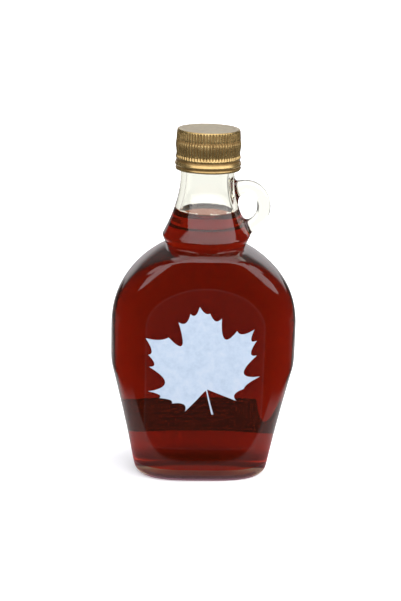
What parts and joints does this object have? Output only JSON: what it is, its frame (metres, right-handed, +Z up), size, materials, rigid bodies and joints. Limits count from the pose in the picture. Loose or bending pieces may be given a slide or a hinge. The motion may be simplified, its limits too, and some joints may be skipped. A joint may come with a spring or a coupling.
{
  "type": "maple syrup bottle",
  "caption": "Flat oval glass flask with a small loop handle at its neck, a knurled gold screw cap and dark syrup up into the neck, for storing and pouring syrup.",
  "frame": {"origin": "centre of the base, on the surface that the bottle stands on", "axes": "+Z up along the neck, +X towards the handle, -Y towards the front with the leaf print"},
  "size_m": [0.0894, 0.0465, 0.1699],
  "materials": {
    "glass": "clear polished soda-lime glass",
    "syrup": "dark clear liquid",
    "cap_metal": "gold-lacquered, satin",
    "clear_label": "clear film with a pale print",
    "paper_label": "coated paper"
  },
  "bodies": {
    "root": {"glass_bottle": "glass", "syrup": "syrup", "cap": "cap_metal", "front_label": "clear_label", "back_label": "paper_label"}
  },
  "joints": []
}
